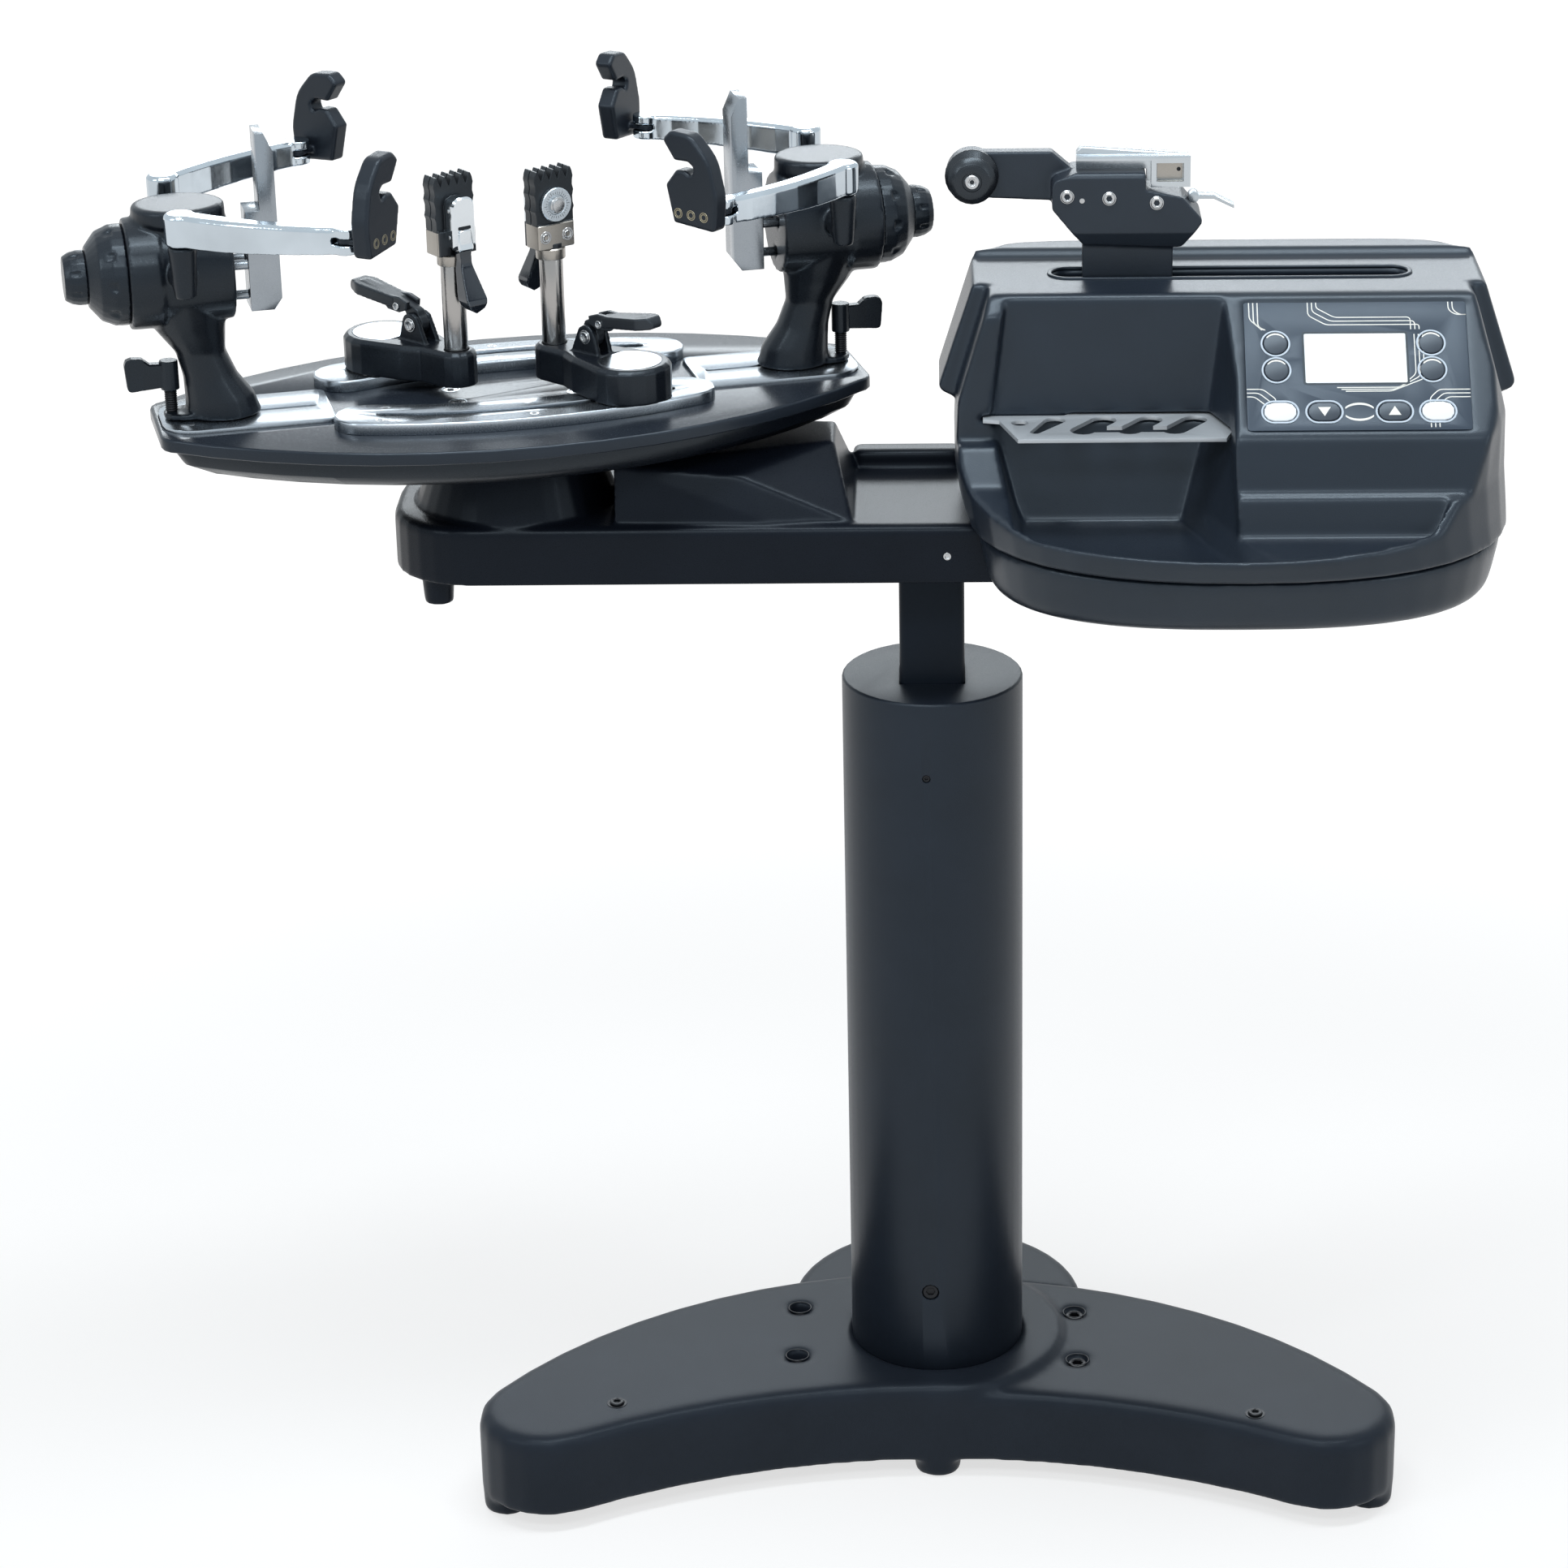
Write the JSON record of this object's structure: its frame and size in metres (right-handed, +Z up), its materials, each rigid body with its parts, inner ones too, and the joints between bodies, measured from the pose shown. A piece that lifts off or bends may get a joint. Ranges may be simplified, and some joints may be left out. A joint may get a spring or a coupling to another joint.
{
  "type": "racket stringing machine",
  "caption": "Upright electronic racket stringing machine with a turning frame table, hooked side arms, string clamps and a linear tension gripper over a keypad console.",
  "frame": {"origin": "middle of the machine's footprint box, on the floor", "axes": "+Z up, +X towards the console end, -Y towards the user who faces the keypad"},
  "size_m": [1.07, 0.422, 1.1133],
  "materials": {
    "base_powder": "fine matte powder coat",
    "column_powder": "fine matte powder coat",
    "mast": "satin black",
    "arm_satin": "satin graphite black",
    "console_moulding": "fine-grained satin moulding, blue-black",
    "panel_overlay": "matt overlay, blue-grey",
    "key_dark": "satin",
    "key_light": "satin",
    "rack_steel": "brushed",
    "switch_black": "gloss",
    "rod_chrome": "ground and polished",
    "gripper_black": "satin",
    "roller_black": "satin",
    "jaw_aluminium": "fine-milled",
    "lever_steel": "satin",
    "cast_black": "satin black lacquer",
    "table_plate": "satin blue-grey sheen",
    "rail_silver": "satin anodised",
    "knob_black": "satin",
    "arm_polished": "polished casting",
    "pad_black": "satin, slightly soft",
    "post_satin": "satin machined",
    "clamp_lever": "satin",
    "post_nickel": "nickel plated",
    "jaw_black": "satin black oxide",
    "handle_black": "gloss"
  },
  "bodies": {
    "stand": {"base_crescent": "base_powder", "base_rear_lobe": "base_powder", "column_tube": "column_powder"},
    "head": {"mast_bar": "mast", "arm_housing": "arm_satin", "console_lower": "console_moulding", "console_upper": "console_moulding", "panel_plate": "panel_overlay", "tool_rack": "rack_steel", "carriage_rail": "rod_chrome"},
    "table": {"table_dish": "cast_black", "table_plate": "table_plate", "end_rail_left": "rail_silver", "end_rail_right": "rail_silver", "clamp_rail_front": "rail_silver", "clamp_rail_rear": "rail_silver"},
    "carriage": {"gripper_body": "gripper_black", "gripper_jaw_fixed": "jaw_aluminium"},
    "carriage_roller": {"nose_roller": "roller_black"},
    "carriage_jaw": {"gripper_jaw_moving": "jaw_aluminium"},
    "carriage_lever": {"gripper_lever": "lever_steel"},
    "switch": {"power_switch": "switch_black"},
    "key_left_upper": {"key_left_upper": "key_dark"},
    "key_left_lower": {"key_left_lower": "key_dark"},
    "key_right_upper": {"key_right_upper": "key_dark"},
    "key_right_lower": {"key_right_lower": "key_dark"},
    "key_bottom_left": {"key_bottom_left": "key_light"},
    "key_down": {"key_down": "key_dark"},
    "key_up": {"key_up": "key_dark"},
    "key_bottom_right": {"key_bottom_right": "key_light"},
    "left_tower": {"left_tower_casting": "cast_black"},
    "left_tower_lock": {"left_tower_lock_lever": "knob_black"},
    "left_tower_arm_front": {"left_tower_arm_front": "arm_polished"},
    "left_tower_pad_front": {"left_tower_pad_front": "pad_black"},
    "left_tower_arm_rear": {"left_tower_arm_rear": "arm_polished"},
    "left_tower_pad_rear": {"left_tower_pad_rear": "pad_black"},
    "left_tower_arm_knob": {"left_tower_arm_knob": "knob_black"},
    "left_tower_post": {"left_tower_centre_post": "post_satin"},
    "left_tower_post_knob": {"left_tower_post_knob": "knob_black"},
    "left_clamp": {"left_clamp_base": "cast_black"},
    "left_clamp_base_lever": {"left_clamp_base_lever": "clamp_lever"},
    "left_clamp_head": {"left_clamp_post": "post_nickel", "left_clamp_jaw_head": "jaw_black"},
    "left_clamp_jaw_handle": {"left_clamp_jaw_handle": "handle_black"},
    "right_tower": {"right_tower_casting": "cast_black"},
    "right_tower_lock": {"right_tower_lock_lever": "knob_black"},
    "right_tower_arm_front": {"right_tower_arm_front": "arm_polished"},
    "right_tower_pad_front": {"right_tower_pad_front": "pad_black"},
    "right_tower_arm_rear": {"right_tower_arm_rear": "arm_polished"},
    "right_tower_pad_rear": {"right_tower_pad_rear": "pad_black"},
    "right_tower_arm_knob": {"right_tower_arm_knob": "knob_black"},
    "right_tower_post": {"right_tower_centre_post": "post_satin"},
    "right_tower_post_knob": {"right_tower_post_knob": "knob_black"},
    "right_clamp": {"right_clamp_base": "cast_black"},
    "right_clamp_base_lever": {"right_clamp_base_lever": "clamp_lever"},
    "right_clamp_head": {"right_clamp_post": "post_nickel", "right_clamp_jaw_head": "jaw_black"},
    "right_clamp_jaw_handle": {"right_clamp_jaw_handle": "handle_black"}
  },
  "joints": [
    {"name": "head_height", "type": "slide", "parent": "stand", "child": "head", "axis": [0, 0, 1], "range_m": [-0.085, 0.12]},
    {"name": "table_spin", "type": "hinge", "parent": "head", "child": "table", "pos_m": [-0.217, 0.011, 0.86], "axis": [0, 0, 1], "continuous": true},
    {"name": "carriage_pull", "type": "slide", "parent": "head", "child": "carriage", "axis": [1, 0, 0], "range_m": [-0.015, 0.16]},
    {"name": "roller_turn", "type": "hinge", "parent": "carriage", "child": "carriage_roller", "pos_m": [0.129, 0.01, 1.055], "axis": [0, 1, 0], "continuous": true},
    {"name": "jaw_close", "type": "slide", "parent": "carriage", "child": "carriage_jaw", "axis": [0, 1, 0], "range_m": [-0.002, 0.0005]},
    {"name": "lever_trip", "type": "hinge", "parent": "carriage", "child": "carriage_lever", "pos_m": [0.293, 0.011, 1.038], "axis": [0, 1, 0], "range_deg": [-12, 10], "stiffness_Nm_per_rad": 0.05},
    {"name": "switch_rock", "type": "hinge", "parent": "head", "child": "switch", "pos_m": [0.385, 0.095, 0.784], "axis": [1, 0, 0], "range_deg": [-12, 0]},
    {"name": "press_left_upper", "type": "slide", "parent": "head", "child": "key_left_upper", "axis": [0, -0.6947, 0.7193], "range_m": [-0.0008, 0], "stiffness_N_per_m": 600, "springref_m": 0.0005},
    {"name": "press_left_lower", "type": "slide", "parent": "head", "child": "key_left_lower", "axis": [0, -0.6947, 0.7193], "range_m": [-0.0008, 0], "stiffness_N_per_m": 600, "springref_m": 0.0005},
    {"name": "press_right_upper", "type": "slide", "parent": "head", "child": "key_right_upper", "axis": [0, -0.6947, 0.7193], "range_m": [-0.0008, 0], "stiffness_N_per_m": 600, "springref_m": 0.0005},
    {"name": "press_right_lower", "type": "slide", "parent": "head", "child": "key_right_lower", "axis": [0, -0.6947, 0.7193], "range_m": [-0.0008, 0], "stiffness_N_per_m": 600, "springref_m": 0.0005},
    {"name": "press_bottom_left", "type": "slide", "parent": "head", "child": "key_bottom_left", "axis": [0, -0.6947, 0.7193], "range_m": [-0.0008, 0], "stiffness_N_per_m": 600, "springref_m": 0.0005},
    {"name": "press_down", "type": "slide", "parent": "head", "child": "key_down", "axis": [0, -0.6947, 0.7193], "range_m": [-0.0008, 0], "stiffness_N_per_m": 600, "springref_m": 0.0005},
    {"name": "press_up", "type": "slide", "parent": "head", "child": "key_up", "axis": [0, -0.6947, 0.7193], "range_m": [-0.0008, 0], "stiffness_N_per_m": 600, "springref_m": 0.0005},
    {"name": "press_bottom_right", "type": "slide", "parent": "head", "child": "key_bottom_right", "axis": [0, -0.6947, 0.7193], "range_m": [-0.0008, 0], "stiffness_N_per_m": 600, "springref_m": 0.0005},
    {"name": "left_tower_slide", "type": "slide", "parent": "table", "child": "left_tower", "axis": [0.9636, 0.2672, 0], "range_m": [-0.002, 0.04]},
    {"name": "left_tower_lock_turn", "type": "hinge", "parent": "left_tower", "child": "left_tower_lock", "pos_m": [-0.46273, -0.05715, 0.9235], "axis": [0, 0, 1], "range_deg": [-60, 60]},
    {"name": "left_tower_arm_front_swing", "type": "hinge", "parent": "left_tower", "child": "left_tower_arm_front", "pos_m": [-0.43689, -0.10913, 1.0505], "axis": [0, 0, 1], "range_deg": [-8, 12]},
    {"name": "left_tower_pad_front_swivel", "type": "hinge", "parent": "left_tower_arm_front", "child": "left_tower_pad_front", "pos_m": [-0.31235, -0.15035, 1.0535], "axis": [0, 0, 1], "range_deg": [-18, 18]},
    {"name": "left_tower_arm_rear_swing", "type": "hinge", "parent": "left_tower", "child": "left_tower_arm_rear", "pos_m": [-0.46736, 0.00072, 1.0505], "axis": [0, 0, 1], "range_deg": [-12, 8]},
    {"name": "left_tower_pad_rear_swivel", "type": "hinge", "parent": "left_tower_arm_rear", "child": "left_tower_pad_rear", "pos_m": [-0.38183, 0.10019, 1.0535], "axis": [0, 0, 1], "range_deg": [-18, 18]},
    {"name": "left_tower_arm_knob_turn", "type": "hinge", "parent": "left_tower", "child": "left_tower_arm_knob", "pos_m": [-0.49838, -0.06703, 1.005], "axis": [0.9636, 0.2672, 0], "range_deg": [-165, 245]},
    {"name": "left_tower_post_slide", "type": "slide", "parent": "left_tower", "child": "left_tower_post", "axis": [0.9636, 0.2672, 0], "range_m": [-0.01, 0.012]},
    {"name": "left_tower_post_knob_turn", "type": "hinge", "parent": "left_tower", "child": "left_tower_post_knob", "pos_m": [-0.52247, -0.07371, 1.005], "axis": [0.9636, 0.2672, 0], "range_deg": [-730, 870]},
    {"name": "left_clamp_glide", "type": "hinge", "parent": "table", "child": "left_clamp", "pos_m": [-0.13616, -0.2805, 0.9], "axis": [0, 0, 1], "range_deg": [-2.5, 1.7]},
    {"name": "left_clamp_base_lever_lift", "type": "hinge", "parent": "left_clamp", "child": "left_clamp_base_lever", "pos_m": [-0.2881, 0.02595, 0.94], "axis": [-0.6293, -0.7771, 0], "range_deg": [-70, 4]},
    {"name": "left_clamp_head_swivel", "type": "hinge", "parent": "left_clamp", "child": "left_clamp_head", "pos_m": [-0.25701, 0.00078, 0.96], "axis": [0, 0, 1], "range_deg": [-90, 90]},
    {"name": "left_clamp_jaw_handle_lift", "type": "hinge", "parent": "left_clamp_head", "child": "left_clamp_jaw_handle", "pos_m": [-0.24777, -0.01104, 1.017], "axis": [-0.788, -0.6157, 0], "range_deg": [0, 60]},
    {"name": "right_tower_slide", "type": "slide", "parent": "table", "child": "right_tower", "axis": [-0.9636, -0.2672, 0], "range_m": [-0.002, 0.04]},
    {"name": "right_tower_lock_turn", "type": "hinge", "parent": "right_tower", "child": "right_tower_lock", "pos_m": [0.02873, 0.07915, 0.9235], "axis": [0, 0, 1], "range_deg": [-60, 60]},
    {"name": "right_tower_arm_front_swing", "type": "hinge", "parent": "right_tower", "child": "right_tower_arm_front", "pos_m": [0.03336, 0.02128, 1.0505], "axis": [0, 0, 1], "range_deg": [-12, 8]},
    {"name": "right_tower_pad_front_swivel", "type": "hinge", "parent": "right_tower_arm_front", "child": "right_tower_pad_front", "pos_m": [-0.05217, -0.07819, 1.0535], "axis": [0, 0, 1], "range_deg": [-18, 18]},
    {"name": "right_tower_arm_rear_swing", "type": "hinge", "parent": "right_tower", "child": "right_tower_arm_rear", "pos_m": [0.00289, 0.13113, 1.0505], "axis": [0, 0, 1], "range_deg": [-8, 12]},
    {"name": "right_tower_pad_rear_swivel", "type": "hinge", "parent": "right_tower_arm_rear", "child": "right_tower_pad_rear", "pos_m": [-0.12165, 0.17235, 1.0535], "axis": [0, 0, 1], "range_deg": [-18, 18]},
    {"name": "right_tower_arm_knob_turn", "type": "hinge", "parent": "right_tower", "child": "right_tower_arm_knob", "pos_m": [0.06438, 0.08903, 1.005], "axis": [-0.9636, -0.2672, 0], "range_deg": [-245, 165]},
    {"name": "right_tower_post_slide", "type": "slide", "parent": "right_tower", "child": "right_tower_post", "axis": [-0.9636, -0.2672, 0], "range_m": [-0.01, 0.012]},
    {"name": "right_tower_post_knob_turn", "type": "hinge", "parent": "right_tower", "child": "right_tower_post_knob", "pos_m": [0.08847, 0.09571, 1.005], "axis": [-0.9636, -0.2672, 0], "range_deg": [-730, 870]},
    {"name": "right_clamp_glide", "type": "hinge", "parent": "table", "child": "right_clamp", "pos_m": [-0.29784, 0.3025, 0.9], "axis": [0, 0, 1], "range_deg": [-2.5, 3]},
    {"name": "right_clamp_base_lever_lift", "type": "hinge", "parent": "right_clamp", "child": "right_clamp_base_lever", "pos_m": [-0.15404, -0.00828, 0.94], "axis": [0.6293, 0.7771, 0], "range_deg": [-70, 4]},
    {"name": "right_clamp_head_swivel", "type": "hinge", "parent": "right_clamp", "child": "right_clamp_head", "pos_m": [-0.18513, 0.01689, 0.96], "axis": [0, 0, 1], "range_deg": [-90, 90]},
    {"name": "right_clamp_jaw_handle_lift", "type": "hinge", "parent": "right_clamp_head", "child": "right_clamp_jaw_handle", "pos_m": [-0.19436, 0.02871, 1.017], "axis": [0.788, 0.6157, 0], "range_deg": [0, 60]}
  ],
  "couplings": [
    {"joint": "left_tower_arm_rear_swing", "follows": "left_tower_arm_front_swing", "ratio": -1},
    {"joint": "left_tower_arm_knob_turn", "follows": "left_tower_arm_front_swing", "ratio": 20},
    {"joint": "left_tower_post_knob_turn", "follows": "left_tower_post_slide", "rad_per_m": 1256.6},
    {"joint": "right_tower_arm_rear_swing", "follows": "right_tower_arm_front_swing", "ratio": -1},
    {"joint": "right_tower_arm_knob_turn", "follows": "right_tower_arm_front_swing", "ratio": 20},
    {"joint": "right_tower_post_knob_turn", "follows": "right_tower_post_slide", "rad_per_m": 1256.6}
  ]
}
